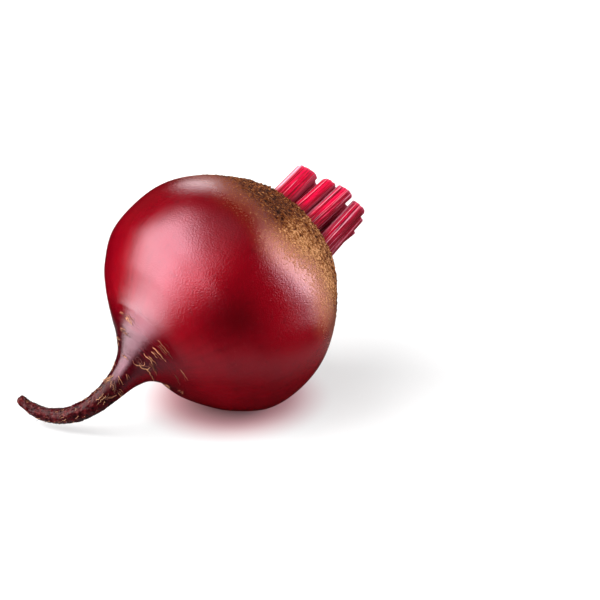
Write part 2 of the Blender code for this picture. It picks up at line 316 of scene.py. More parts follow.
def new_material(name):
    """A material, its tree, its shader and the coordinates of the object."""
    made = bpy.data.materials.new(name)
    made.use_nodes = True
    tree = made.node_tree
    place = put(tree, "ShaderNodeTexCoord").outputs["Object"]
    return made, tree, tree.nodes["Principled BSDF"], place


# Grains per metre of the patterns in the materials
SKIN_GRAINS = 1900.0
STALK_GRAINS = 1600.0
ROOTLET_GRAINS = 2200.0
BULB_CLOUDS = 42.0
TAIL_CRINKLES = 700.0
TAIL_KNOBS = 520.0
BARK_GRAINS = 1150.0
SAND_GRAINS = 2500.0
PITH_GRAINS = 1500.0
ROOTLET_MOTTLES = 420.0
FLOOR_CLOUDS = 3.0
COARSE_SHARE = 0.22

# Tints of the gloss: on the skin, where cork or the tail damps it, and on the stalks
SKIN_GLOSS = (1.0, 0.56, 0.69, 1.0)
DULL_GLOSS = (0.12, 0.05, 0.04, 1.0)
STALK_GLOSS = (1.0, 0.50, 0.62, 1.0)

# How strongly skin and stalks mirror, and the colour of a stalk's dark lines and of the shade painted
# into its grooves and onto its shaded side
SKIN_IOR = 1.68
STALK_IOR = 1.25
STALK_DARK_AND_SHADE = tint(84, 0, 14)


def grain_group():
    """Fine pebbled grain shared by the skin, the stalks and the rootlets."""
    group = bpy.data.node_groups.new("fine_grain", "ShaderNodeTree")
    face = group.interface
    face.new_socket("Vector", in_out="INPUT", socket_type="NodeSocketVector")
    face.new_socket("Grains per metre", in_out="INPUT", socket_type="NodeSocketFloat")
    face.new_socket("Height", in_out="OUTPUT", socket_type="NodeSocketFloat")
    face.new_socket("Patches", in_out="OUTPUT", socket_type="NodeSocketFloat")
    source = put(group, "NodeGroupInput").outputs
    height = noise(group, source[0], source[1], 4.0, 0.55)
    patches = noise(group, source[0], calc(group, "MULTIPLY", source[1], COARSE_SHARE), 3.0, 0.55)
    put(group, "NodeGroupOutput", {"Height": height, "Patches": patches})
    return group


GRAIN = grain_group()


def grain(tree, vector, size):
    """Height and patches of the shared grain."""
    inputs = {"Vector": vector, "Grains per metre": size}
    made = put(tree, "ShaderNodeGroup", inputs, node_tree=GRAIN)
    return made.outputs["Height"], made.outputs["Patches"]


def red_skin(tree, place, around, patches):
    """The bulb's red: soft clouds, streaks down the bulb, redder patches of painted light and darker ones
    of painted shade, fine specks.
    """
    clouds = ramp(tree, noise(tree, place, BULB_CLOUDS, 3.0, 0.5), [
        (0.30, tint(84, 0, 7)),
        (0.52, tint(96, 1, 9)),
        (0.72, tint(106, 1, 12)),
    ])
    meridians = noise(tree, scaled(tree, around, (9.0, 9.0, 0.35)), 1.0, 4.0, 0.6)
    return layered(
        tree, clouds,
        (fade(tree, meridians, 0.35, 0.68), 0.25, tint(120, 4, 20)),
        # Redder patches are painted light; darker patches are painted shade.
        (attribute(tree, "painted_light_patch"), 1.0, tint(128, 2, 16)),
        (attribute(tree, "painted_shade_patch"), 1.0, tint(68, 0, 4)),
        (fade(tree, patches, 0.60, 0.70), 0.25, tint(64, 1, 7)),
    )


def neck_skin(tree, lines):
    """Dark red with growth lines round the neck."""
    return ramp(tree, lines, [
        (0.30, tint(28, 0, 3)),
        (0.52, tint(46, 1, 6)),
        (0.75, tint(74, 7, 15)),
    ])


def tail_skin(tree, place, relief, gnarled):
    """Nearly black red with paler mottles, paler on the wrinkles' crests and darker in their troughs as
    painted light and shade.
    """
    crinkle = calc(tree, "SUBTRACT", noise(tree, place, TAIL_CRINKLES, 4.0, 0.65), 0.5)
    # The relief paints light on the wrinkles' crests and shade in their troughs.
    crinkle = weighed(tree, 0.5, (crinkle, 1.9), (relief, 0.24))
    crinkle = calc(tree, "MULTIPLY", crinkle, weighed(tree, 0.62, (gnarled, 0.38)))
    return ramp(tree, crinkle, [
        (0.18, tint(16, 0, 2)),
        (0.50, tint(46, 2, 7)),
        (0.76, tint(68, 8, 12)),
        (1.00, tint(112, 46, 36)),
    ])


def bark_skin(tree, bark, sand, relief, tan_and_painted_light):
    """The cork's grains from dark to light, as a number and as a colour, with painted shade in its pits,
    painted light on its knobs, and lighter on the tan side.
    """
    coarse = calc(tree, "MULTIPLY", bark, weighed(tree, 1.3, (attribute(tree, "crown_band"), 0.6)))
    # The relief paints shade into the pits and light onto the knobs.
    value = weighed(tree, 0.50, (coarse, 1.0), (sand, 1.15), (relief, 0.34), (tan_and_painted_light, 0.38))
    colour = ramp(tree, value, [
        (0.10, tint(12, 4, 1)),
        (0.32, tint(50, 20, 6)),
        (0.52, tint(96, 43, 12)),
        (0.74, tint(142, 82, 38)),
        (1.00, tint(214, 154, 104)),
    ])
    return value, colour


def beet_skin():
    """Red skin, hazy brown and then corky towards the crown, dark on the neck, gnarled on the tail."""
    made, tree, shader, place = new_material("beet_skin")
    around = attribute(tree, "around", "Vector")
    cork, tan_and_painted_light, neck, tail, gnarled, relief = (
        attribute(tree, name) for name in ("cork", "tan_and_painted_light", "neck", "tail", "gnarled", "relief")
    )
    grain_height, patches = grain(tree, place, SKIN_GRAINS)
    lines = noise(tree, scaled(tree, around, (2.2, 2.2, 34.0)), 1.0, 4.0, 0.62)
    bark = calc(tree, "SUBTRACT", noise(tree, place, BARK_GRAINS, 3.0, 0.60), 0.5)
    sand = calc(tree, "SUBTRACT", noise(tree, place, SAND_GRAINS, 2.0, 0.5), 0.5)
    grit = weighed(tree, 0.0, (sand, 0.8), (bark, 0.5))
    haze = fade(tree, cork, 0.0, 0.50)
    corky = fade(tree, calc(tree, "ADD", grit, cork), 0.16, 0.88)

    hazed = calc(tree, "MULTIPLY", haze, weighed(tree, 0.76, (grit, 2.0)), clamp=True)
    # The haze turns tan towards the right: partly its own colour, partly painted light.
    haze_colour = mix_colour(tree, tan_and_painted_light, tint(103, 36, 14), tint(194, 112, 78))
    bark_value, bark_colour = bark_skin(tree, bark, sand, relief, tan_and_painted_light)
    colour = layered(
        tree, red_skin(tree, place, around, patches),
        (neck, 1.0, neck_skin(tree, lines)),
        (tail, 1.0, tail_skin(tree, place, relief, gnarled)),
        (hazed, 1.0, haze_colour),
        (corky, 1.0, bark_colour),
    )
    rough = weighed(
        tree, 0.09,
        (patches, 0.07), (haze, 0.24), (corky, 0.54), (neck, -0.05), (tail, 0.14), clamp=True,
    )
    veil = calc(tree, "MULTIPLY", haze, weighed(tree, 0.50, (tan_and_painted_light, -0.16)))
    dull = weighed(tree, veil, (corky, 0.8), (tail, 0.95), clamp=True)
    shader.inputs["Specular Tint"].default_value = SKIN_GLOSS
    fill(tree, shader, {
        "Base Color": colour,
        "Roughness": rough,
        "IOR": SKIN_IOR,
        "Specular Tint": mix_colour(tree, dull, SKIN_GLOSS, DULL_GLOSS),
    })

    other = weighed(tree, corky, (haze, 0.55), (neck, 0.65), clamp=True)
    smooth_grain = calc(tree, "MULTIPLY", grain_height, calc(tree, "SUBTRACT", 1.0, other))
    barky = calc(tree, "SUBTRACT", bark_value, 0.55)
    barky = calc(tree, "MULTIPLY", barky, fade(tree, corky, 0.12, 0.75))
    knobs = calc(tree, "MULTIPLY", noise(tree, place, TAIL_KNOBS, 2.0, 0.5), gnarled)
    bumps(
        tree, shader,
        (smooth_grain, 0.11 * MM),
        (barky, 0.90 * MM),
        (calc(tree, "MULTIPLY", lines, neck), 0.10 * MM),
        (calc(tree, "MULTIPLY", knobs, tail), 0.60 * MM),
    )
    return made


def stalk_skin():
    """Magenta stalk with threads along it, dark lines, pale strips, painted shade and highlight, pith at
    the cut end.
    """
    made, tree, shader, place = new_material("leaf_stalk")
    along = attribute(tree, "along", "Vector")
    rib = attribute(tree, "rib")
    threads, fine_threads, pale_threads, dark_threads = (
        noise(tree, scaled(tree, along, stretch), 1.0, detail, roughness)
        for stretch, detail, roughness in (
            ((0.95, 0.05, 1.0), 4.0, 0.65),
            ((3.2, 0.09, 1.0), 3.0, 0.6),
            ((2.3, 0.045, 1.7), 2.0, 0.5),
            ((1.9, 0.05, 2.9), 2.0, 0.5),
        )
    )
    red = ramp(tree, threads, [
        (0.36, tint(124, 0, 22)),
        (0.47, tint(186, 1, 42)),
        (0.58, tint(214, 2, 56)),
    ])
    dark_lines = fade(tree, dark_threads, 0.44, 0.38)
    # Pale lines, partly from a pattern and partly on the ribs' crests as painted highlight.
    pale_line_and_crest_highlight = fade(tree, weighed(tree, 0.0, (rib, 0.25), (pale_threads, 0.75)), 0.62, 0.67)
    streaked = calc(tree, "MULTIPLY", attribute(tree, "pale"), fade(tree, fine_threads, 0.38, 0.50))
    pith = ramp(tree, noise(tree, place, PITH_GRAINS, 3.0, 0.6), [
        (0.35, tint(150, 20, 54)),
        (0.55, tint(196, 84, 112)),
        (0.72, tint(220, 150, 160)),
    ])
    colour = layered(
        tree, red,
        (dark_lines, 0.8, STALK_DARK_AND_SHADE),
        # Painted shade in the ribs' grooves.
        (fade(tree, rib, 0.28, 0.0), 0.7, STALK_DARK_AND_SHADE),
        # Painted shade on the stalk's shaded side.
        (attribute(tree, "painted_shade"), 0.85, STALK_DARK_AND_SHADE),
        (fade(tree, fine_threads, 0.61, 0.67), 0.5, tint(232, 56, 100)),
        (pale_line_and_crest_highlight, 0.6, tint(244, 140, 168)),
        (streaked, 0.9, tint(248, 186, 206)),
        (attribute(tree, "margin"), 0.25, tint(228, 120, 150)),
        # Darker towards the foot, where the stalk meets the crown: painted shade.
        (fade(tree, attribute(tree, "rise"), 3.4, 0.4), 0.6, tint(116, 22, 26)),
        (attribute(tree, "tip"), 0.22, tint(244, 110, 150)),
        (attribute(tree, "cut"), 1.0, pith),
    )
    grain_height, patches = grain(tree, place, STALK_GRAINS)
    fill(tree, shader, {
        "Base Color": colour,
        "Roughness": weighed(tree, 0.26, (patches, 0.2), clamp=True),
        "IOR": STALK_IOR,
        "Specular Tint": STALK_GLOSS,
    })
    fibres = weighed(tree, fine_threads, (dark_lines, -0.5))
    bumps(tree, shader, (fibres, 0.26 * MM), (grain_height, 0.05 * MM))
    return made


def rootlet_skin():
    """Tan to dark brown, each rootlet in its own tone."""
    made, tree, shader, place = new_material("rootlet")
    mottles = noise(tree, place, ROOTLET_MOTTLES, 3.0, 0.6)
    toned = weighed(tree, 0.0, (mottles, 0.5), (attribute(tree, "tone"), 0.6))
    colour = ramp(tree, toned, [
        (0.24, tint(48, 16, 10)),
        (0.52, tint(122, 66, 36)),
        (0.82, tint(206, 152, 106)),
    ])
    fill(tree, shader, {"Base Color": colour, "Roughness": 0.5})
    bumps(tree, shader, (grain(tree, place, ROOTLET_GRAINS)[0], 0.06 * MM))
    return made


# Distances over the floor from the middle of the flat spot, from where each change starts to where it
# is full: the glow, kept low under the bulb as a painted shadow; the painted red of its bounced light;
# and what gloss loses of the floor, a painted darker reflection in the skin.
PAINTED_SHADOW_AWAY = (8.0 * MM, 26.0 * MM)
PAINTED_BOUNCE_AWAY = (16.0 * MM, 34.0 * MM)
PALER_AWAY = (100.0 * MM, 400.0 * MM)
MIRROR_AWAY = (34.0 * MM, 60.0 * MM)
MIRROR_RIM_AWAY = (55.0 * MM, 95.0 * MM)
MIRROR_LOSS = (0.985, 0.77)
MIRROR_RIM_LOSS = 0.24
GLOW = (0.04, 0.52)
PAINTED_BOUNCE_GLOW = (0.56, 0.34, 0.40, 1.0)
WHITE = (1.0, 1.0, 1.0, 1.0)


def floor_skin():
    """Pale floor that glows like a light table, with painted shadow and painted red bounce by the flat
    spot, dimmer to glossy rays.
    """
    made, tree, shader, place = new_material("pale_floor")
    away = put(tree, "ShaderNodeVectorMath", {0: place}, operation="LENGTH").outputs["Value"]
    mirrored = put(tree, "ShaderNodeLightPath").outputs["Is Glossy Ray"]
    # Glossy rays see the floor dimmer: a painted darker reflection in the skin.
    loss = fade(tree, away, *MIRROR_AWAY, *MIRROR_LOSS)
    loss = calc(tree, "ADD", loss, fade(tree, away, *MIRROR_RIM_AWAY, 0.0, MIRROR_RIM_LOSS), clamp=True)
    kept = calc(tree, "SUBTRACT", 1.0, calc(tree, "MULTIPLY", mirrored, loss))

    clouds = noise(tree, place, FLOOR_CLOUDS, 2.0, 0.5)
    # Darker near the beetroot, which softens its cast shadows, and paler far out: painted light.
    shade = weighed(tree, 0.36, (fade(tree, away, *PALER_AWAY), 0.42), (clouds, 0.04))
    shade = calc(tree, "MULTIPLY", shade, kept)
    beyond_painted_bounce = fade(tree, away, *PAINTED_BOUNCE_AWAY)
    # Less green and blue by the flat spot: a painted red bounce.
    painted_bounce_green_blue = calc(tree, "MULTIPLY", shade, weighed(tree, 0.50, (beyond_painted_bounce, 0.50)))
    fill(tree, shader, {
        "Base Color": put(tree, "ShaderNodeCombineColor", {0: shade, 1: painted_bounce_green_blue, 2: painted_bounce_green_blue}).outputs[0],
        "Roughness": 0.6,
        "Specular IOR Level": 0.0,
        # The glow dips by the flat spot: a painted contact shadow.
        "Emission Strength": calc(tree, "MULTIPLY", fade(tree, away, *PAINTED_SHADOW_AWAY, *GLOW), kept),
        "Emission Color": mix_colour(tree, beyond_painted_bounce, PAINTED_BOUNCE_GLOW, WHITE),
    })
    return made


# Pieces. A face with more sides than this is split into triangles.
MOST_SIDES = 5


def new_piece(name, mesh):
    """An object at the origin that holds a mesh."""
    made = bpy.data.objects.new(name, mesh)
    bpy.context.scene.collection.objects.link(made)
    return made


def store(mesh, name, values, kind="FLOAT"):
    """Store a number or a vector at each point of a mesh."""
    layer = mesh.attributes.new(name, kind, "POINT")
    values = np.array(values, np.float32).ravel()
    layer.data.foreach_set("value" if kind == "FLOAT" else "vector", values)


def new_tree(name, sizes):
    """A Geometry Nodes tree with its sizes and its material as named inputs; gives back those too."""
    tree = bpy.data.node_groups.new(name, "GeometryNodeTree")
    face = tree.interface
    face.new_socket("Geometry", in_out="INPUT", socket_type="NodeSocketGeometry")
    for label, size in sizes.items():
        kind = "NodeSocketInt" if isinstance(size, int) else "NodeSocketFloat"
        face.new_socket(label, in_out="INPUT", socket_type=kind).default_value = size
    face.new_socket("Material", in_out="INPUT", socket_type="NodeSocketMaterial")
    face.new_socket("Geometry", in_out="OUTPUT", socket_type="NodeSocketGeometry")
    return tree, put(tree, "NodeGroupInput").outputs


def end_tree(tree, source, geometry):
    """End a tree in real geometry that has the material put in."""
    real = put(tree, "GeometryNodeRealizeInstances", {"Geometry": geometry}).outputs[0]
    dressed = put(tree, "GeometryNodeSetMaterial", {"Geometry": real, "Material": source["Material"]})
    put(tree, "NodeGroupOutput", {"Geometry": dressed.outputs[0]})


def stored_share(tree, name, kind="FLOAT"):
    """A number or vector of the mesh, in a Geometry Nodes tree."""
    return put(tree, "GeometryNodeInputNamedAttribute", {"Name": name}, data_type=kind).outputs[0]


def run_tree(piece, tree, skin):
    """Run a tree on a piece and leave the plain mesh that it makes."""
    step = piece.modifiers.new(tree.name, "NODES")
    step.node_group = tree
    step[tree.interface.items_tree["Material"].identifier] = skin
    bpy.context.view_layer.update()
    graph = bpy.context.evaluated_depsgraph_get()
    plain = bpy.data.meshes.new_from_object(piece.evaluated_get(graph))
    piece.modifiers.clear()
    piece.data = plain


def face_outwards(mesh, merge_within=0.0):
    """Merge doubles where asked, split the many-sided ends and turn all faces outwards."""
    shaper = bmesh.new()
    shaper.from_mesh(mesh)
    if merge_within > 0.0:
        bmesh.ops.remove_doubles(shaper, verts=shaper.verts, dist=merge_within)
    bmesh.ops.triangulate(shaper, faces=[face for face in shaper.faces if len(face.verts) > MOST_SIDES])
    bmesh.ops.recalc_face_normals(shaper, faces=shaper.faces)
    shaper.to_mesh(mesh)
    shaper.free()


# Rings of the root's mesh, measured along the skin: how far the first one is from the crown's pole and
# the last one from the tail's tip at least, and zones: (up to this far from the pole, spacing, sides).
FIRST_RING = 0.45 * MM
LAST_GAP = 0.25 * MM
RING_ZONES = [
    (10.5 * MM, 0.80 * MM, 90),
    (14.0 * MM, 0.50 * MM, 180),
    (45.0 * MM, 0.34 * MM, 360),
    (83.0 * MM, 0.62 * MM, 360),
    (92.0 * MM, 0.50 * MM, 360),
    (101.0 * MM, 0.40 * MM, 180),
    (160.0 * MM, 0.30 * MM, 90),
]

# Cork: mm along the skin to where half of it is gone, over how many mm it fades above and below, how
# much lower it reaches on one side, and the waves of its edge: (mm, waves round the root, phase).
CORK_EDGE = 38.5
CORK_FADE = (17.0, 27.0)
CORK_DROP = 2.5
CORK_LOWEST_ANGLE = math.radians(240.0)
CORK_WAVES = ((1.2, 5, 1.0), (0.9, 9, 2.5))
# The cork is lightest round this angle, its tan partly painted light: cosines of how far off it starts
# and is full.
TAN_AND_PAINTED_LIGHT_ANGLE = math.radians(253.0)
TAN_AND_PAINTED_LIGHT_SPREAD = (math.cos(math.radians(37.0)), math.cos(math.radians(13.0)))
TAN_AND_PAINTED_LIGHT_ARC = (25.0 * MM, 37.0 * MM)
# The roughest cork, in a band round the leaf stalks, by the distance from the axis.
BAND_INNER = (10.5 * MM, 14.5 * MM)
BAND_OUTER = (17.0 * MM, 24.0 * MM)
# Depths below the bulb's middle where the neck's and the tail's skin start and are full.
NECK_DEPTH = (24.0 * MM, 31.0 * MM)
TAIL_DEPTH = (36.5 * MM, 44.0 * MM)
# The tail is smoother at its start: mm along the skin, and the share of wrinkles it has there.
GNARLED_ARC = (118.0 * MM, 131.0 * MM)
GNARLED_LEAST = 0.35
# The neck keeps more of the bulb's red round this angle, and the tail's skin starts later there, as a
# painted reflection of the floor.
PAINTED_REFLECTION_ANGLE = math.radians(305.0)
PAINTED_REFLECTION_SPREAD = (math.cos(math.radians(60.0)), math.cos(math.radians(20.0)))
PAINTED_REFLECTION_RED = 0.55
PAINTED_REFLECTION_DELAY = 4.0 * MM
# Soft patches of painted light, redder, and of painted shade, darker: mm from the crown's pole, angle,
# half sizes in mm, strength.
PAINTED_LIGHT_PATCHES = ((59.0, 259.0, 12.0, 19.0, 1.0), (73.0, 218.0, 13.0, 7.5, 0.9))
PAINTED_SHADE_PATCHES = ((73.0, 244.0, 8.0, 8.5, 0.9), (53.0, 192.0, 11.0, 16.0, 0.35))


def ring_plan():
    """Distance along the skin and number of sides of each ring."""
    arc = FIRST_RING
    plan = []
    while arc < PROFILE_ARC[-1] - LAST_GAP:
        for limit, pitch, sides in RING_ZONES:
            if arc < limit:
                break
        plan.append((arc, sides))
        arc += pitch
    return plan


def bridge(faces, upper, lower):
    """Faces between two rings, where one may have twice the sides of the other."""
    n, m = len(upper), len(lower)
    if n == m:
        for i in range(n):
            j = (i + 1) % n
            faces.append((upper[i], lower[i], lower[j], upper[j]))
    elif m == 2 * n:
        for i in range(n):
            j = (i + 1) % n
            a, b, c = lower[2 * i], lower[2 * i + 1], lower[(2 * i + 2) % m]
            faces.append((upper[i], a, b))
            faces.append((upper[i], b, upper[j]))
            faces.append((upper[j], b, c))
    else:
        for i in range(m):
            j = (i + 1) % m
            a, b, c = upper[2 * i], upper[2 * i + 1], upper[(2 * i + 2) % n]
            faces.append((a, lower[i], b))
            faces.append((b, lower[i], lower[j]))
            faces.append((b, lower[j], c))


def root_rings():
    """Angle, height, radius and distance along the skin of each point, and the faces between them."""
    angles, heights, radii, arcs, rings = [0.0], [PROFILE[0, 0]], [0.0], [0.0], []
    for arc, sides in ring_plan():
        first = len(angles)
        rings.append(list(range(first, first + sides)))
        angles.extend(math.tau * i / sides for i in range(sides))
        heights.extend([np.interp(arc, PROFILE_ARC, PROFILE[:, 0])] * sides)
        radii.extend([np.interp(arc, PROFILE_ARC, PROFILE[:, 1])] * sides)
        arcs.extend([arc] * sides)
    tip = len(angles)
    angles.append(0.0)
    heights.append(PROFILE[-1, 0])
    radii.append(0.0)
    arcs.append(PROFILE_ARC[-1])
    top, end = rings[0], rings[-1]
    faces = [(0, top[i], top[(i + 1) % len(top)]) for i in range(len(top))]
    for upper, lower in zip(rings[:-1], rings[1:]):
        bridge(faces, upper, lower)
    faces.extend((tip, end[(i + 1) % len(end)], end[i]) for i in range(len(end)))
    return (*map(np.array, (angles, heights, radii, arcs)), faces)


def waves_round(rows, angle):
    """Sum of some waves round the axis."""
    return sum(size * np.sin(turns * angle + phase) for size, turns, phase in rows)


def skin_rise(angle, height, radius):
    """How far the swells and the ridges of old leaves lift the skin."""
    rise = np.zeros(len(angle))
    for size, turns, along, phase in SWELLS:
        rise += size * np.cos(turns * angle + phase + along * height / SWELL_WAVE)
    rise *= ease(*SWELL_FROM, radius)
    place = (radius - SCAR_INNER) / SCAR_PITCH + waves_round(SCAR_WAVES, angle)
    scar = 0.5 + 0.5 * np.cos(math.tau * place)
    scar *= ease(SCAR_INNER, SCAR_INNER + SCAR_RISE, radius)
    scar *= 1.0 - ease(SCAR_INNER + SCAR_FADE, SCAR_OUTER, radius)
    return rise + np.where(height >= 0.0, SCAR_HEIGHT * scar, 0.0)


def cork_share(arc, angle):
    """How corky the skin is: 1 by the leaf stalks, 0 on the bulb, with an uneven edge."""
    edge = CORK_EDGE + CORK_DROP * np.cos(angle - CORK_LOWEST_ANGLE) + waves_round(CORK_WAVES, angle)
    past = arc / MM - edge
    return np.clip(0.5 - past / np.where(past > 0.0, CORK_FADE[1], CORK_FADE[0]), 0.0, 1.0)


def patchy_share(arc, angle, patches):
    """How far the skin takes on the colour of some soft patches."""
    total = np.zeros(len(arc))
    for middle, way, along, spread, strength in patches:
        off = np.abs(np.mod(angle - math.radians(way) + math.pi, math.tau) - math.pi)
        around = BULB_RADIUS_MM * off
        total += strength * np.exp(-((arc / MM - middle) / along) ** 2 - (around / spread) ** 2)
    return np.clip(total, 0.0, 1.0)


def skin_shares(angle, height, radius, arc):
    """How far each point takes on each kind of skin, and on the patches of painted light and painted
    shade.
    """
    # Tan cork towards the right, partly its own colour and partly painted light.
    tan_and_painted_light = ease(*TAN_AND_PAINTED_LIGHT_SPREAD, np.cos(angle - TAN_AND_PAINTED_LIGHT_ANGLE))
    # Painted reflection of the floor on the underside of the neck and the tail.
    under = ease(*PAINTED_REFLECTION_SPREAD, np.cos(angle - PAINTED_REFLECTION_ANGLE))
    tail_starts, tail_full = (depth + PAINTED_REFLECTION_DELAY * under for depth in TAIL_DEPTH)
    band = ease(*BAND_INNER, radius) * (1.0 - ease(*BAND_OUTER, radius))
    return {
        "cork": cork_share(arc, angle),
        "tan_and_painted_light": tan_and_painted_light * (0.50 + 0.50 * ease(*TAN_AND_PAINTED_LIGHT_ARC, arc)),
        "crown_band": band * (height > 0.0),
        "painted_light_patch": patchy_share(arc, angle, PAINTED_LIGHT_PATCHES),
        "painted_shade_patch": patchy_share(arc, angle, PAINTED_SHADE_PATCHES),
        "neck": ease(*NECK_DEPTH, -height) * (1.0 - PAINTED_REFLECTION_RED * under),
        "tail": ease(tail_starts, tail_full, -height),
        "gnarled": GNARLED_LEAST + (1.0 - GNARLED_LEAST) * ease(*GNARLED_ARC, arc),
    }


def root_mesh():
    """The bent root with its swells, and what its relief and its skin read from each point."""
    angle, height, radius, arc, faces = root_rings()
    rise = skin_rise(angle, height, radius)
    upward = np.where(height > 0.0, height, 0.0)
    length = np.maximum(np.hypot(radius, upward), NEAR_ZERO)
    reach = radius + rise * radius / length
    places = [reach * np.cos(angle), reach * np.sin(angle), height + rise * upward / length]
    mesh = bpy.data.meshes.new("beet_root")
    mesh.from_pydata(to_row(bend_tail(np.stack(places, 1))).tolist(), [], faces)
    mesh.update()
    for name, values in skin_shares(angle, height, radius, arc).items():
        store(mesh, name, values)
    store(mesh, "around", np.stack([np.cos(angle), np.sin(angle), arc / CM], 1), "FLOAT_VECTOR")
    return mesh


def relief_tree():
    """Raises cork ridges and pits on the crown, and growth lines and wrinkles on neck and tail."""
    tree, source = new_tree("root_relief", {
        "Cork height": 0.58 * MM,
        "Lumps per metre": 640.0,
        "Knobs per metre": 900.0,
        "Pit depth": 0.85 * MM,
        "Pits per metre": 460.0,
        "Line height": 0.05 * MM,
        "Wrinkle height": 0.40 * MM,
    })
    position = put(tree, "GeometryNodeInputPosition").outputs[0]

    def cells(scale):
        """Distance to the middle of the nearest cell."""
        inputs = {"Vector": position, "Scale": source[scale], "Randomness": 1.0}
        return put(tree, "ShaderNodeTexVoronoi", inputs, feature="F1").outputs["Distance"]

    def product(first, *others):
        """All values multiplied."""
        for other in others:
            first = calc(tree, "MULTIPLY", first, other)
        return first

    around = stored_share(tree, "around", "FLOAT_VECTOR")
    band, cork, tan_and_painted_light, neck, tail, gnarled = (
        stored_share(tree, name) for name in ("crown_band", "cork", "tan_and_painted_light", "neck", "tail", "gnarled")
    )
    corky = fade(tree, cork, 0.36, 0.88)
    lumps = calc(tree, "SUBTRACT", noise(tree, position, source["Lumps per metre"], 4.0, 0.62), 0.5)
    knobs = calc(tree, "SUBTRACT", 0.45, cells("Knobs per metre"))
    rough = weighed(tree, 0.0, (knobs, 1.1), (lumps, 2.4))
    patchy = fade(tree, noise(tree, position, 170.0, 2.0, 0.5), 0.46, 0.58)
    patchy = product(patchy, weighed(tree, 1.0, (tan_and_painted_light, -0.6)))
    pits = fade(tree, cells("Pits per metre"), 0.40, 0.12)
    pits = product(pits, weighed(tree, 0.0, (band, 0.6), (patchy, 0.6)))
    cork_rise = product(rough, source["Cork height"], weighed(tree, 0.75, (band, 0.9)))
    cork_rise = calc(tree, "SUBTRACT", cork_rise, product(pits, source["Pit depth"]))

    lines = noise(tree, scaled(tree, around, (1.6, 1.6, 22.0)), 1.0, 3.0, 0.6)
    lines = product(calc(tree, "SUBTRACT", lines, 0.5), neck, 2.0)
    wrinkles = noise(tree, scaled(tree, around, (1.7, 1.7, 4.4)), 1.0, 5.0, 0.66, 0.7)
    wrinkles = product(calc(tree, "SUBTRACT", wrinkles, 0.5), tail, gnarled, 3.0)
    height = weighed(
        tree, product(cork_rise, corky),
        (lines, source["Line height"]), (wrinkles, source["Wrinkle height"]),
    )
    # Also read by the skin's colour, where it paints shade into pits and troughs and light onto crests.
    relief = weighed(tree, wrinkles, (weighed(tree, rough, (pits, -1.6)), corky))

    normal = put(tree, "GeometryNodeInputNormal").outputs[0]
    offset = put(tree, "ShaderNodeVectorMath", {0: normal, "Scale": height}, operation="SCALE").outputs[0]
    stored = put(
        tree, "GeometryNodeStoreNamedAttribute",
        {"Geometry": source["Geometry"], "Name": "relief", "Value": relief},
        data_type="FLOAT", domain="POINT",
    ).outputs[0]
    moved = put(tree, "GeometryNodeSetPosition", {"Geometry": stored, "Offset": offset})
    end_tree(tree, source, moved.outputs[0])
    return tree


# Points this near the floor are eased up, so that the relief doesn't cut through it.
NEAR_FLOOR = 2.0 * MM
FLOOR_SOFTNESS = 0.22 * MM


def make_root(skin):
    """The root with its relief, standing on the floor."""
    piece = new_piece("beet_root", root_mesh())
    run_tree(piece, relief_tree(), skin)
    mesh = piece.data
    places = np.zeros(len(mesh.vertices) * 3, np.float32)
    mesh.vertices.foreach_get("co", places)
    heights = places[2::3]
    near = heights < NEAR_FLOOR
    heights[near] = 0.5 * (heights[near] + np.sqrt(heights[near] ** 2 + FLOOR_SOFTNESS ** 2))
    mesh.vertices.foreach_set("co", places)
    mesh.update()
    mesh.shade_smooth()
    return piece


# Finer form of the leaf stalks: small ribs on each rib outside, and ripples inside. The shares say how
# much the small ribs and the ripples count in the rib's colour, and how much painted shade the inner side
# gets.
STALK_SEED = 300
OUTER_STEPS = 72
INNER_STEPS = 26
STALK_LEVELS = 26
RIB_SHARPNESS = 0.8
SMALL_RIBS = 3
SMALL_RIB_HEIGHT = 0.11 * MM
SMALL_RIB_SHARE = 0.3
INNER_RIPPLES = 7
INNER_RIPPLE_DEPTH = 0.05 * MM
INNER_RIB_SHARE = 0.3
INNER_PAINTED_SHADE = 0.8
# The cut end: rings in from its edge as shares of the way to its middle line, and how it dips,
# steps down, narrows, bows and frays.
CAP_SHARES = (0.10, 0.30, 0.55, 0.80)
CUT_DIP = 0.22 * MM
CUT_STEP = 0.05 * MM
CUT_NARROWING = 0.16
CUT_BOW = 0.10
CUT_FRAYS = ((0.10 * MM, 9.0), (0.06 * MM, 23.0))
# Where the margins start, as a share of the half width, and the tip, as a share of the length.
MARGIN_FROM = 0.82
TIP_FROM = 0.93
# How far apart the threads' patterns of two neighbouring stalks are.
THREAD_SHIFT = 3.7
SHARP_ANGLE = math.radians(48.0)
# Pale strips, and dark strips that are partly the stalk's own red and partly painted shade, on the outer
# side of a stalk, by its number: (place, half width) as shares of the way round that side.
PALE_STRIPS = {
    1: ((0.66, 0.06),),
    2: ((0.82, 0.02), (0.58, 0.008)),
    3: ((0.93, 0.025), (0.78, 0.010), (0.50, 0.007)),
    4: ((0.96, 0.02), (0.80, 0.010), (0.62, 0.018)),
    5: ((0.78, 0.02), (0.62, 0.015)),
    7: ((0.30, 0.03),),
    9: ((0.70, 0.02), (0.35, 0.015)),
}
DARK_AND_PAINTED_SHADE_STRIPS = {4: ((0.42, 0.13),), 5: ((0.50, 0.08),)}
# A stalk gets painted shade where it looks this way round the crown, and the shaded ones all over.
PAINTED_SHADE_ANGLES = (252.0, 296.0)
SHADED_STALKS = (5, 6, 11, 12, 13)
SHADED_SHARE = 0.85
# What the stalks' skin reads from each point.
STALK_MARKS = ("rib", "cut", "margin", "rise", "tip", "pale", "painted_shade")


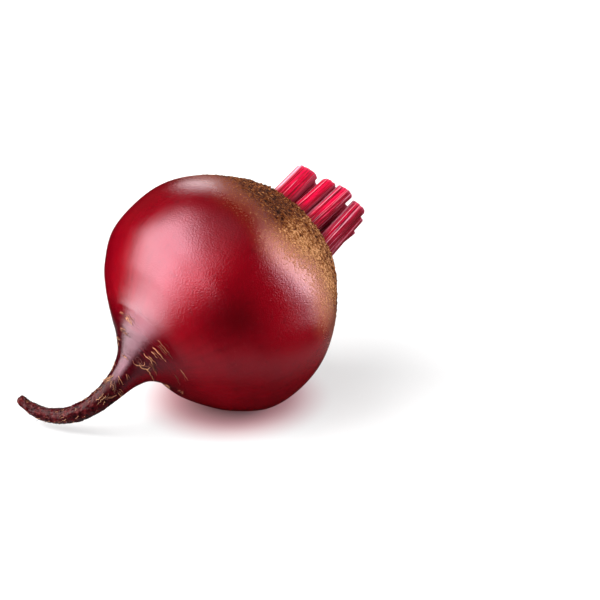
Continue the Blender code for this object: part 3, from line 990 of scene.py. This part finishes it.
def stalk_outline(width, facing_deg, shaded, strips, rng):
    """Ribbed crescent, outer side first: (outward, sideways, rib, run, pale strip, painted shade) rows.
    """
    half = width / 2.0
    depth = width * STALK_DEPTH_SHARE
    channel = width * STALK_CHANNEL_SHARE
    phase = rng.uniform(-0.25, 0.25)
    uneven = [rng.uniform(0.5, 1.0) for _ in range(STALK_RIBS * SMALL_RIBS + 2)]
    rows = []
    for i in range(OUTER_STEPS):
        share = i / (OUTER_STEPS - 1)
        turn = math.pi * share
        side = half * math.cos(turn)
        out = depth * math.sin(turn) ** STALK_ROUNDNESS
        place = STALK_RIBS * share
        rib = (0.5 - 0.5 * math.cos(math.tau * (place + phase * math.sin(turn)))) ** RIB_SHARPNESS
        small = (0.5 - 0.5 * math.cos(math.tau * place * SMALL_RIBS)) * uneven[int(place * SMALL_RIBS)]
        out += math.sin(turn) * (STALK_RIB_HEIGHT * rib + SMALL_RIB_HEIGHT * small)
        pale, dark = (
            max([math.exp(-((share - middle) / spread) ** 2) for middle, spread in rows_of] + [0.0])
            for rows_of in strips
        )
        looks_to = facing_deg + 90.0 - 180.0 * share
        # Painted shade on the side turned away from the light, in the dark strips and on the shaded
        # stalks.
        painted_shade = max(float(ease(*PAINTED_SHADE_ANGLES, looks_to)), dark, shaded)
        rows.append((out, side, rib + SMALL_RIB_SHARE * (small - rib), pale, painted_shade))
    for i in range(1, INNER_STEPS):
        side = -half + width * i / INNER_STEPS
        ripple = 0.5 - 0.5 * math.cos(math.tau * INNER_RIPPLES * i / INNER_STEPS)
        out = channel * (1.0 - (side / half) ** 2) - INNER_RIPPLE_DEPTH * ripple
        # The inner side gets painted shade too.
        rows.append((out, side, INNER_RIB_SHARE * (1.0 + ripple), 0.0, INNER_PAINTED_SHADE))
    run, last, outline = 0.0, rows[0], []
    for row in rows:
        run += math.dist(row[:2], last[:2])
        outline.append((row[0] - depth / 2.0, row[1], row[2], run / MM, row[3], row[4]))
        last = row
    return outline


def make_stalk(number, skin):
    """A ribbed stalk from the crown's skin up to its frayed, slightly hollow cut end."""
    angle_deg, distance, facing_deg, width, length, lean_deg, side_lean_deg, slope = STALKS[number]
    distance, width, length = distance * MM, width * MM, length * MM
    rng = random.Random(STALK_SEED + number)
    off_face = math.radians(angle_deg - facing_deg)
    centre_out = distance * math.cos(off_face)
    centre_side = distance * math.sin(off_face)
    lean = math.tan(math.radians(lean_deg)) * length
    side_lean = math.tan(math.radians(side_lean_deg)) * length
    shaded = SHADED_SHARE if number + 1 in SHADED_STALKS else 0.0
    strips = (PALE_STRIPS.get(number + 1, ()), DARK_AND_PAINTED_SHADE_STRIPS.get(number + 1, ()))
    outline = stalk_outline(width, facing_deg, shaded, strips, rng)
    phases = [rng.uniform(0.0, math.tau) for _ in CUT_FRAYS]
    end_height = float(crown_height(distance)) + length
    rows, along, marks = [], [], []

    def add_ring(level, inset, dip):
        """Points at a level from foot 0 to cut 1, and inset from the edge towards the middle line."""
        first = len(rows)
        grow = 1.0 + STALK_FLARE * (1.0 - level) ** 3
        for out, side, rib, run, pale, painted_shade in outline:
            off = 2.0 * side / width
            middle = width * (STALK_CHANNEL_SHARE / 2.0 * (1.0 - off ** 2) - CUT_BOW * off ** 2)
            out = (out + (middle - out) * inset) * grow
            side = side * (1.0 - CUT_NARROWING * inset) * grow
            foot = float(crown_height(math.hypot(centre_out + out, centre_side + side))) - STALK_SUNK
            fray = sum(
                size * math.sin(waves * side / width + phase)
                for (size, waves), phase in zip(CUT_FRAYS, phases)
            )
            height = foot + (end_height + slope * side + fray - dip - foot) * level
            rows.append((centre_out + out + lean * level, centre_side + side + side_lean * level, height))
            along.append((run, (height - foot) / MM, THREAD_SHIFT * number))
            margin, tip = ease(MARGIN_FROM, 1.0, abs(off)), ease(TIP_FROM, 1.0, level)
            rise = (height - foot - STALK_SUNK) / MM
            marks.append((rib, float(inset > 0.0), margin, rise, tip, pale, painted_shade))
        return list(range(first, len(rows)))

    rings = [add_ring(k / (STALK_LEVELS - 1), 0.0, 0.0) for k in range(STALK_LEVELS)]
    for share in CAP_SHARES:
        rings.append(add_ring(1.0, share, CUT_DIP * math.sin(math.pi * share) + CUT_STEP))
    count = len(outline)
    faces = []
    for lower, upper in zip(rings[:-1], rings[1:]):
        for i in range(count):
            j = (i + 1) % count
            faces.append((lower[i], lower[j], upper[j], upper[i]))
    faces += [tuple(rings[-1]), tuple(reversed(rings[0]))]

    facing = math.radians(facing_deg)
    out, side, height = np.array(rows).T
    turned = np.stack([
        out * math.cos(facing) - side * math.sin(facing),
        out * math.sin(facing) + side * math.cos(facing),
        height,
    ], 1)
    name = "stalk_%d" % (number + 1)
    mesh = bpy.data.meshes.new(name)
    mesh.from_pydata(to_row(turned).tolist(), [], faces)
    for mark, values in zip(STALK_MARKS, zip(*marks)):
        store(mesh, mark, values)
    store(mesh, "along", along, "FLOAT_VECTOR")
    face_outwards(mesh)
    mesh.shade_smooth()
    mesh.set_sharp_from_angle(angle=SHARP_ANGLE)
    mesh.materials.append(skin)
    return new_piece(name, mesh)


# Rootlets. Each row is a tuft: distance along the skin from the crown's pole, from angle, to angle,
# spread along the skin, number, length, heading from the way round, waviness, curl, thickness and lift
# of the free end. Lengths are in mm; angles and headings in degrees; waviness and curl in radians.
ROOTLET_TUFTS = [
    (98.4, 163.0, 184.0, 0.55, 5, 4.8, 0.0, 0.80, 0.0, 0.105, 0.3),
    (99.4, 166.0, 182.0, 0.40, 3, 3.6, 4.0, 0.60, 0.0, 0.090, 0.2),
    (103.0, 166.0, 182.0, 0.60, 6, 4.4, -8.0, 0.90, 0.0, 0.110, 0.5),
    (106.7, 138.0, 152.0, 0.70, 5, 5.0, 0.0, 0.35, 0.0, 0.105, 1.0),
    (110.4, 181.0, 194.0, 0.30, 4, 2.3, -2.0, 0.60, 0.0, 0.105, 0.2),
    (96.9, 227.0, 231.0, 0.10, 1, 4.4, 3.0, 0.30, 0.0, 0.100, 0.3),
    (97.6, 224.0, 228.0, 0.10, 1, 6.2, 3.0, 0.28, 0.0, 0.110, 0.4),
    (98.3, 228.0, 232.0, 0.10, 1, 5.2, 3.0, 0.30, 0.0, 0.105, 0.3),
    (99.0, 225.0, 229.0, 0.10, 1, 7.0, 3.0, 0.28, 0.0, 0.110, 0.4),
    (99.7, 229.0, 233.0, 0.10, 1, 5.8, 3.0, 0.30, 0.0, 0.110, 0.4),
    (100.4, 226.0, 230.0, 0.10, 1, 6.6, 3.0, 0.30, 0.0, 0.105, 0.4),
    (101.1, 230.0, 234.0, 0.10, 1, 4.8, 3.0, 0.32, 0.0, 0.100, 0.3),
    (101.8, 227.0, 231.0, 0.10, 1, 4.0, 3.0, 0.32, 0.0, 0.095, 0.3),
    (97.9, 237.0, 242.0, 0.40, 2, 3.2, 0.0, 0.40, 0.0, 0.100, 0.3),
    (103.9, 224.0, 232.0, 0.50, 4, 4.2, 0.0, 0.40, 0.0, 0.110, 0.3),
    (104.7, 240.0, 246.0, 0.60, 3, 5.6, 16.0, 0.25, 0.0, 0.105, 0.3),
    (106.6, 230.0, 236.0, 0.60, 3, 5.6, 50.0, 0.20, 0.46, 0.090, 0.2),
    (108.3, 226.0, 234.0, 0.60, 3, 5.0, 30.0, 0.30, -0.30, 0.090, 0.3),
    (107.9, 244.0, 252.0, 0.50, 3, 2.2, 10.0, 0.40, 0.0, 0.105, 0.3),
    (107.7, 254.0, 262.0, 0.55, 3, 6.4, 15.0, 0.30, 0.0, 0.090, 0.6),
    (97.9, 262.0, 266.0, 0.20, 2, 7.2, 2.0, 0.15, 0.0, 0.075, 0.05),
    (100.7, 267.0, 272.0, 0.40, 3, 5.4, 0.0, 0.30, 0.0, 0.095, 0.3),
    (114.0, 227.0, 236.0, 0.40, 3, 2.2, 28.0, 0.15, 0.0, 0.090, 0.4),
    (116.4, 211.0, 217.0, 0.40, 2, 3.0, 22.0, 0.10, 0.0, 0.115, 0.6),
    (118.4, 194.0, 214.0, 1.20, 6, 4.0, 8.0, 0.80, 0.1, 0.115, 0.6),
    (119.6, 160.0, 196.0, 2.80, 20, 2.6, 60.0, 0.70, 0.2, 0.095, 1.5),
    (119.6, 246.0, 262.0, 1.00, 4, 2.8, -20.0, 0.60, 0.15, 0.100, 0.9),
    (121.2, 262.0, 268.0, 0.50, 2, 5.2, 104.0, 0.20, 0.07, 0.125, 0.7),
    (123.0, 205.0, 250.0, 2.00, 6, 2.6, 60.0, 0.60, 0.1, 0.085, 0.6),
    (131.0, 150.0, 290.0, 8.00, 26, 1.5, 40.0, 0.80, 0.1, 0.065, 0.5),
    (147.0, 140.0, 300.0, 9.00, 26, 1.2, 40.0, 0.80, 0.1, 0.060, 0.6),
    (98.6, 4.0, 20.0, 1.30, 9, 5.4, 0.0, 0.40, 0.0, 0.110, 0.4),
    (104.0, 52.0, 66.0, 1.20, 9, 4.8, 4.0, 0.60, 0.0, 0.110, 0.5),
    (101.0, 308.0, 318.0, 0.60, 5, 4.8, -6.0, 0.40, 0.0, 0.105, 0.3),
    (107.0, 92.0, 104.0, 0.60, 5, 4.2, 6.0, 0.50, 0.2, 0.095, 0.4),
    (114.0, 20.0, 90.0, 4.00, 14, 2.6, 10.0, 0.60, 0.1, 0.090, 0.6),
    (130.0, 300.0, 480.0, 12.00, 36, 1.6, 40.0, 0.80, 0.1, 0.065, 0.5),
    (115.5, 140.0, 158.0, 1.20, 6, 3.6, -30.0, 0.50, 0.1, 0.080, 2.8),
    (107.2, 146.0, 158.0, 0.80, 4, 2.8, 20.0, 0.50, 0.1, 0.080, 1.6),
    (126.0, 110.0, 160.0, 6.00, 6, 2.4, 60.0, 0.50, 0.1, 0.065, 2.2),
    (146.0, 246.0, 262.0, 6.00, 6, 1.7, 80.0, 0.40, 0.0, 0.065, 1.6),
]
ROOTLET_SEED = 29
ROOTLET_POINTS = 12
ROOTLET_SIDES = 5
ROOTLET_TAPER = 0.6
DOUBLES_WITHIN = 0.001 * MM
# A rootlet starts this far under the skin, and comes up by this much over this share of its length;
# the first two are shares of its own radius.
ROOTED_DEPTH = 0.9
ROOTED_RISE = 1.6
ROOTED_OVER = 0.25
# The least radius that a rootlet's way round the tail is worked out with.
LEAST_RADIUS = 1.6 * MM


def rootlet_paths():
    """Polylines that follow the skin, in seeded tufts."""
    rng = random.Random(ROOTLET_SEED)
    rows, links, thick, tones = [], [], [], []
    for arc, low, high, spread, number, length, turn, waves, curl, thickness, lift in ROOTLET_TUFTS:
        for _ in range(number):
            s = (arc + rng.uniform(-1.0, 1.0) * spread) * MM
            a = math.radians(rng.uniform(low, high))
            size = length * MM * rng.uniform(0.6, 1.15)
            heading = math.radians(turn) + rng.gauss(0.0, 0.10)
            bend = curl * rng.uniform(0.6, 1.3)
            phase, pace = rng.uniform(0.0, math.tau), rng.uniform(0.8, 1.6)
            bulk = thickness * MM * rng.uniform(0.7, 1.2)
            free = lift * MM * rng.uniform(0.0, 1.0) ** 2
            step = size / (ROOTLET_POINTS - 1)
            depths, turns, lifts = [], [], []
            for k in range(ROOTLET_POINTS):
                share = k / (ROOTLET_POINTS - 1)
                depth = -float(np.interp(s, PROFILE_ARC, PROFILE[:, 0]))
                depths.append(depth)
                turns.append(a)
                rooted = ROOTED_RISE * min(share / ROOTED_OVER, 1.0) - ROOTED_DEPTH
                lifts.append(bulk * rooted + free * share ** 2)
                way = heading + bend * k + waves * math.sin(phase + pace * k)
                a += math.cos(way) * step / max(float(skin_radius(depth)), LEAST_RADIUS)
                s += math.sin(way) * step
                thick.append(bulk * (1.0 - ROOTLET_TAPER * share))
            first = len(rows)
            rows.extend(skin_points(np.array(depths), np.array(turns), np.array(lifts)).tolist())
            links.extend((first + k, first + k + 1) for k in range(ROOTLET_POINTS - 1))
            tones.extend([rng.uniform(0.0, 1.0) ** 1.3] * ROOTLET_POINTS)
    return rows, links, thick, tones


def rootlet_tree():
    """Turns each path into a thin tapered tube."""
    tree, source = new_tree("rootlet_tubes", {"Sides": ROOTLET_SIDES, "Thickness": 1.0})
    thick = calc(tree, "MULTIPLY", stored_share(tree, "thick"), source["Thickness"])
    lines = put(tree, "GeometryNodeMeshToCurve", {"Mesh": source["Geometry"]}).outputs[0]
    ring = put(tree, "GeometryNodeCurvePrimitiveCircle", {"Resolution": source["Sides"], "Radius": 1.0})
    tubes = put(
        tree, "GeometryNodeCurveToMesh",
        {"Curve": lines, "Profile Curve": ring.outputs[0], "Scale": thick, "Fill Caps": True},
    )
    end_tree(tree, source, tubes.outputs[0])
    return tree


def make_rootlets(skin):
    """All rootlets as one piece of closed tubes."""
    rows, links, thick, tones = rootlet_paths()
    mesh = bpy.data.meshes.new("rootlets")
    mesh.from_pydata(rows, links, [])
    store(mesh, "thick", thick)
    store(mesh, "tone", tones)
    piece = new_piece("rootlets", mesh)
    run_tree(piece, rootlet_tree(), skin)
    face_outwards(piece.data, DOUBLES_WITHIN)
    piece.data.shade_smooth()
    return piece


# Camera: how far it is turned round the beetroot and raised, its lens, the frame's width, what a
# pixel covers at the bulb, and where the bulb's middle comes in the frame.
CAMERA_TURN = math.radians(39.7)
CAMERA_RISE = math.radians(25.0)
LENS_MM = 100.0
SENSOR_MM = 36.0
FRAME_PX = 600.0
MM_PER_PX = 80.0 / 253.0
BULB_AT_PX = (215.3, 297.3)

# Soft panels round the beetroot: name, turn from the camera's side round to the right, rise from
# level, distance in metres, width and height in degrees as the bulb sees them, radiance, soft rim.
PANELS = (
    ("key_left", -79.5, 38.5, 0.60, 57.5, 84.0, 7.6, 0.28),
    ("key_low", -54.0, 6.0, 0.75, 34.0, 30.0, 3.4, 0.36),
    ("key_side", -34.0, 33.0, 0.90, 38.0, 50.0, 3.3, 0.32),
    ("key_top", -6.0, 58.0, 0.90, 28.0, 22.0, 2.2, 0.60),
    ("right_bright", 106.5, 16.0, 0.80, 52.0, 56.0, 8.5, 0.60),
    ("right_dim", 118.0, 14.0, 0.85, 40.0, 40.0, 0.6, 0.70),
    ("rear_low", -176.0, 24.0, 1.10, 25.0, 25.0, 3.7, 0.50),
    ("overhead", 60.0, 86.0, 1.30, 50.0, 50.0, 0.5, 0.60),
)
# Lit cards that lie on the floor, out of view, and face up: name, metres to the left of the flat spot
# and from it towards the camera, size near to far and left to right, radiance, soft rim.
CARDS = (
    ("card_right", -0.200, 0.010, 0.120, 0.110, 3.6, 0.50),
    ("card_near", 0.147, 0.037, 0.104, 0.102, 7.2, 0.20),
    ("card_middle", 0.255, 0.090, 0.190, 0.150, 7.0, 0.30),
    ("card_far", 0.500, 0.185, 0.520, 0.360, 7.2, 0.30),
)
CARD_TURN = math.radians(-74.0)
CARD_HEIGHT = 2.0 * MM
FLOOR_REACH = 6.0
WORLD_STRENGTH = 0.03
BACKDROP = (0.96, 0.96, 0.965, 1.0)


def make_camera():
    """The photograph's view; gives back the direction to its right."""
    right = Vector((math.cos(CAMERA_TURN), -math.sin(CAMERA_TURN), 0.0))
    level = Vector((math.sin(CAMERA_TURN), math.cos(CAMERA_TURN), 0.0))
    forward = level * math.cos(CAMERA_RISE) - UP * math.sin(CAMERA_RISE)
    up = right.cross(forward)
    focal_px = FRAME_PX * LENS_MM / SENSOR_MM
    distance = focal_px * MM_PER_PX * MM
    place = Vector(BULB_CENTRE) - forward * distance
    place -= right * ((BULB_AT_PX[0] - FRAME_PX / 2.0) / focal_px * distance)
    place -= up * ((FRAME_PX / 2.0 - BULB_AT_PX[1]) / focal_px * distance)
    data = bpy.data.cameras.new("camera")
    data.lens = LENS_MM
    data.sensor_width = SENSOR_MM
    data.clip_start = 0.01
    data.clip_end = 30.0
    camera = bpy.data.objects.new("camera", data)
    camera.matrix_world = Matrix((
        (right.x, up.x, -forward.x, place.x),
        (right.y, up.y, -forward.y, place.y),
        (right.z, up.z, -forward.z, place.z),
        (0.0, 0.0, 0.0, 1.0),
    ))
    bpy.context.scene.collection.objects.link(camera)
    bpy.context.scene.camera = camera
    return right


def soften(data, rim):
    """Let a panel fade out towards its edges, over a share of its half width and height."""
    data.use_nodes = True
    tree = data.node_tree
    place = put(tree, "ShaderNodeNewGeometry").outputs["Parametric"]
    split = put(tree, "ShaderNodeSeparateXYZ", {0: place}).outputs
    strength = 1.0
    for across in (split[0], split[1]):
        off = calc(tree, "ABSOLUTE", calc(tree, "MULTIPLY_ADD", across, 2.0, -1.0))
        strength = calc(tree, "MULTIPLY", fade(tree, off, 1.0, 1.0 - rim), strength)
    fill(tree, tree.nodes["Emission"], {"Strength": strength})


def panel(name, place, turn, width, height, radiance, rim):
    """A rectangular light of a given brightness with soft edges."""
    data = bpy.data.lights.new(name, "AREA")
    data.shape = "RECTANGLE"
    data.size = width
    data.size_y = height
    data.energy = radiance * math.pi * width * height
    soften(data, rim)
    light = bpy.data.objects.new(name, data)
    light.location = place
    light.rotation_euler = turn
    bpy.context.scene.collection.objects.link(light)


def make_lights(right):
    """The panels round the beetroot and the cards on the floor."""
    toward = -UP.cross(right)
    for name, turn, rise, distance, wide, high, radiance, rim in PANELS:
        turn, rise = math.radians(turn), math.radians(rise)
        level = right * math.sin(turn) + toward * math.cos(turn)
        direction = level * math.cos(rise) + UP * math.sin(rise)
        place = Vector(BULB_CENTRE) + direction * distance
        width, height = (2.0 * distance * math.tan(math.radians(size) / 2.0) for size in (wide, high))
        facing = (-direction).to_track_quat("-Z", "Y").to_euler()
        panel(name, place, facing, width, height, radiance, rim)
    level = right * math.sin(CARD_TURN) + toward * math.cos(CARD_TURN)
    face_up = Matrix((level.cross(UP), -level, -UP)).transposed().to_euler()
    for name, left, near, deep, wide, radiance, rim in CARDS:
        place = toward * near - right * left + UP * CARD_HEIGHT
        panel(name, place, face_up, deep, wide, radiance, rim)


def make_floor():
    """A wide level floor through the flat spot."""
    mesh = bpy.data.meshes.new("floor")
    corners = [(x * FLOOR_REACH, y * FLOOR_REACH, 0.0) for x, y in ((-1, -1), (1, -1), (1, 1), (-1, 1))]
    mesh.from_pydata(corners, [], [(0, 1, 2, 3)])
    mesh.materials.append(floor_skin())
    new_piece("floor", mesh)


def make_world():
    """A white backdrop for the camera that adds only a little light."""
    world = bpy.data.worlds.new("room")
    world.use_nodes = True
    tree = world.node_tree
    air = fill(tree, tree.nodes["Background"], {"Color": WHITE, "Strength": WORLD_STRENGTH})
    seen = put(tree, "ShaderNodeBackground", {"Color": BACKDROP, "Strength": 1.0})
    seen_share = put(tree, "ShaderNodeLightPath").outputs["Is Camera Ray"]
    both = put(tree, "ShaderNodeMixShader", {0: seen_share, 1: air.outputs[0], 2: seen.outputs[0]})
    fill(tree, tree.nodes["World Output"], {"Surface": both.outputs[0]})
    bpy.context.scene.world = world
    bpy.context.scene.view_settings.view_transform = "Standard"


make_lights(make_camera())
make_floor()
make_world()

root = make_root(beet_skin())
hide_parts("root")
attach(root, BODY)

rootlets = make_rootlets(rootlet_skin())
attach(rootlets, BODY)

stalk_material = stalk_skin()
for number in range(len(STALKS)):
    stalk = make_stalk(number, stalk_material)
    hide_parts("leaf_stalk_%d" % (number + 1))
    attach(stalk, BODY)
